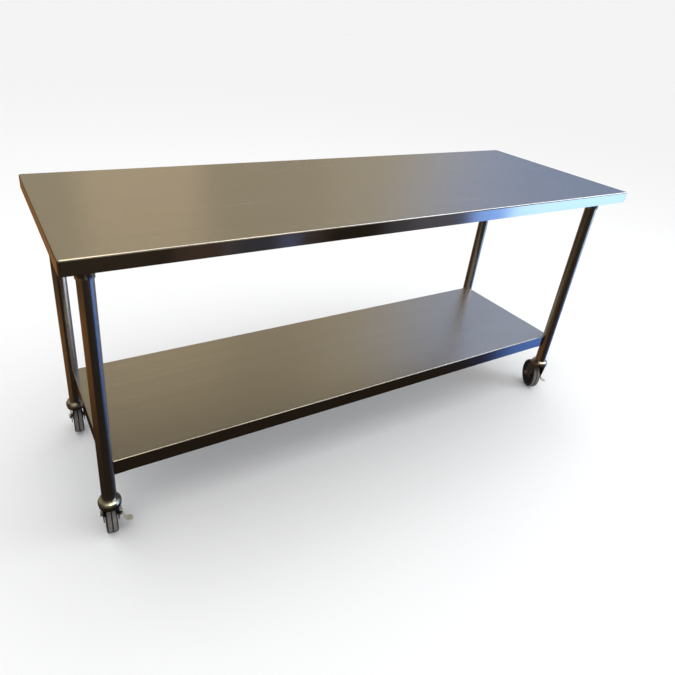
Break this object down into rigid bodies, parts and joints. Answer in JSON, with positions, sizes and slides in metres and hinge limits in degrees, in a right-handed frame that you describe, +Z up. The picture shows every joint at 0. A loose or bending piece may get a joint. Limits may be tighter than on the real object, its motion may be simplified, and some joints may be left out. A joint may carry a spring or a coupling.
{
  "type": "stainless work table",
  "caption": "Long sheet-metal work table with turned-down edges, full undershelf, round tube legs and swivel casters, the front ones with foot brakes.",
  "frame": {"origin": "on the floor, under the middle of the table top", "axes": "+X along the length, +Y to the rear, +Z up; the front long edge is at -Y"},
  "size_m": [1.829, 0.6285, 0.87],
  "materials": {
    "stainless_top": "long-grain brushed, fine lines along the length, light wiping marks",
    "stainless_shelf": "long-grain brushed, slightly duller than the top",
    "stainless_tube": "polished round tube with a fine grain along its length",
    "stainless_socket": "spun and lightly polished",
    "galvanised_channel": "galvanised folded steel, dull with a faint spangle",
    "zinc_hardware": "bright zinc plated",
    "caster_plate": "nickel-chrome plated pressed steel with light wear",
    "wheel_core": "moulded black nylon, satin",
    "tyre": "dark grey rubber with a scuffed tread"
  },
  "bodies": {
    "table": {"table_top": "stainless_top", "undershelf": "stainless_shelf", "cross_rail_left": "galvanised_channel", "cross_rail_right": "galvanised_channel", "long_rail": "galvanised_channel", "shelf_rail": "galvanised_channel", "leg_socket_front_left": "stainless_socket", "set_screw_front_left": "zinc_hardware", "leg_front_left": "stainless_tube", "shelf_bracket_front_left": "galvanised_channel", "bracket_screw_front_left": "zinc_hardware", "caster_stem_front_left": "zinc_hardware", "swivel_cap_front_left": "caster_plate", "leg_socket_front_right": "stainless_socket", "set_screw_front_right": "zinc_hardware", "leg_front_right": "stainless_tube", "shelf_bracket_front_right": "galvanised_channel", "bracket_screw_front_right": "zinc_hardware", "caster_stem_front_right": "zinc_hardware", "swivel_cap_front_right": "caster_plate", "leg_socket_rear_left": "stainless_socket", "set_screw_rear_left": "zinc_hardware", "leg_rear_left": "stainless_tube", "shelf_bracket_rear_left": "galvanised_channel", "bracket_screw_rear_left": "zinc_hardware", "caster_stem_rear_left": "zinc_hardware", "swivel_cap_rear_left": "caster_plate", "leg_socket_rear_right": "stainless_socket", "set_screw_rear_right": "zinc_hardware", "leg_rear_right": "stainless_tube", "shelf_bracket_rear_right": "galvanised_channel", "bracket_screw_rear_right": "zinc_hardware", "caster_stem_rear_right": "zinc_hardware", "swivel_cap_rear_right": "caster_plate"},
    "caster_front_left": {"fork_front_left": "caster_plate", "axle_bolt_front_left": "zinc_hardware", "axle_nut_front_left": "zinc_hardware", "brake_pin_front_left": "zinc_hardware"},
    "wheel_front_left": {"wheel_core_front_left": "wheel_core", "tyre_front_left": "tyre"},
    "brake_front_left": {"brake_lever_front_left": "caster_plate"},
    "caster_front_right": {"fork_front_right": "caster_plate", "axle_bolt_front_right": "zinc_hardware", "axle_nut_front_right": "zinc_hardware", "brake_pin_front_right": "zinc_hardware"},
    "wheel_front_right": {"wheel_core_front_right": "wheel_core", "tyre_front_right": "tyre"},
    "brake_front_right": {"brake_lever_front_right": "caster_plate"},
    "caster_rear_left": {"fork_rear_left": "caster_plate", "axle_bolt_rear_left": "zinc_hardware", "axle_nut_rear_left": "zinc_hardware"},
    "wheel_rear_left": {"wheel_core_rear_left": "wheel_core", "tyre_rear_left": "tyre"},
    "caster_rear_right": {"fork_rear_right": "caster_plate", "axle_bolt_rear_right": "zinc_hardware", "axle_nut_rear_right": "zinc_hardware"},
    "wheel_rear_right": {"wheel_core_rear_right": "wheel_core", "tyre_rear_right": "tyre"}
  },
  "joints": [
    {"name": "swivel_front_left", "type": "hinge", "parent": "table", "child": "caster_front_left", "pos_m": [-0.8555, -0.229, 0.138], "axis": [0, 0, 1], "continuous": true},
    {"name": "roll_front_left", "type": "hinge", "parent": "caster_front_left", "child": "wheel_front_left", "pos_m": [-0.85169, -0.1927, 0.0575], "axis": [-0.9945, 0.1045, 0], "continuous": true},
    {"name": "brake_front_left_press", "type": "hinge", "parent": "caster_front_left", "child": "brake_front_left", "pos_m": [-0.82907, -0.21669, 0.078], "axis": [0.1045, 0.9945, 0], "range_deg": [0, 20]},
    {"name": "swivel_front_right", "type": "hinge", "parent": "table", "child": "caster_front_right", "pos_m": [0.8555, -0.229, 0.138], "axis": [0, 0, 1], "continuous": true},
    {"name": "roll_front_right", "type": "hinge", "parent": "caster_front_right", "child": "wheel_front_right", "pos_m": [0.87375, -0.19739, 0.0575], "axis": [-0.866, 0.5, 0], "continuous": true},
    {"name": "brake_front_right_press", "type": "hinge", "parent": "caster_front_right", "child": "brake_front_right", "pos_m": [0.88465, -0.22851, 0.078], "axis": [0.5, 0.866, 0], "range_deg": [0, 20]},
    {"name": "swivel_rear_left", "type": "hinge", "parent": "table", "child": "caster_rear_left", "pos_m": [-0.8555, 0.229, 0.138], "axis": [0, 0, 1], "continuous": true},
    {"name": "roll_rear_left", "type": "hinge", "parent": "caster_rear_left", "child": "wheel_rear_left", "pos_m": [-0.85169, 0.2653, 0.0575], "axis": [-0.9945, 0.1045, 0], "continuous": true},
    {"name": "swivel_rear_right", "type": "hinge", "parent": "table", "child": "caster_rear_right", "pos_m": [0.8555, 0.229, 0.138], "axis": [0, 0, 1], "continuous": true},
    {"name": "roll_rear_right", "type": "hinge", "parent": "caster_rear_right", "child": "wheel_rear_right", "pos_m": [0.84916, 0.26494, 0.0575], "axis": [-0.9848, -0.1736, 0], "continuous": true}
  ]
}
